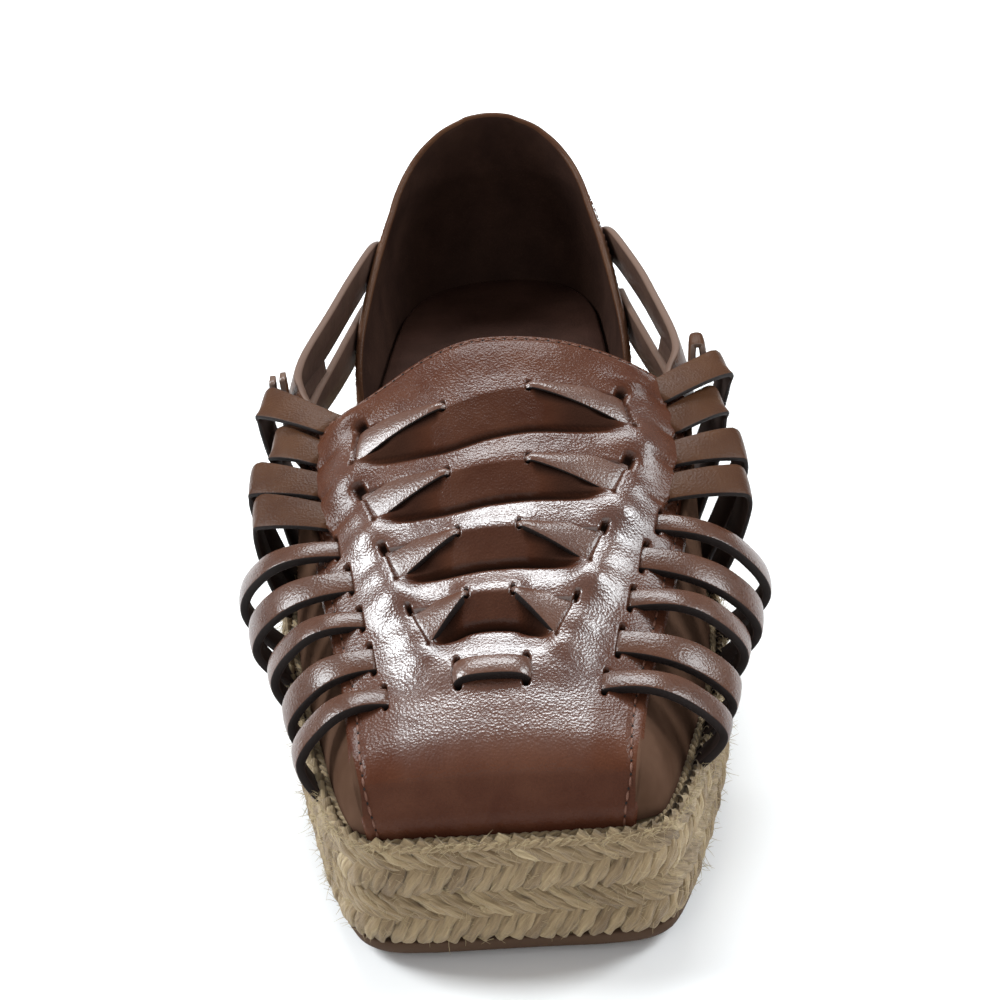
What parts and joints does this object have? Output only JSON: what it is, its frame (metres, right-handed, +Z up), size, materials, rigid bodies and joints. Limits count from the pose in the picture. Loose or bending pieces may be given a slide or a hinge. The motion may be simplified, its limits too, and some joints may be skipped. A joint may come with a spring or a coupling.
{
  "type": "espadrille",
  "caption": "Woven leather espadrille for the right foot, with a square toe, looped side straps, an open collar and a flat platform sole with braided jute sides.",
  "frame": {"origin": "middle of the shoe's bounding box in plan, on the floor under the sole", "axes": "+Y runs from the toe to the heel, +X points to the inner side of a right foot, +Z is up"},
  "size_m": [0.1052, 0.249, 0.0766],
  "materials": {
    "rubber": "matt brown rubber",
    "jute": "natural braided jute",
    "footbed": "smooth dark brown lining leather",
    "leather": "polished brown leather with a fine grain"
  },
  "bodies": {
    "root": {"outsole": "rubber", "midsole": "jute", "insole": "footbed", "upper": "leather"}
  },
  "joints": []
}
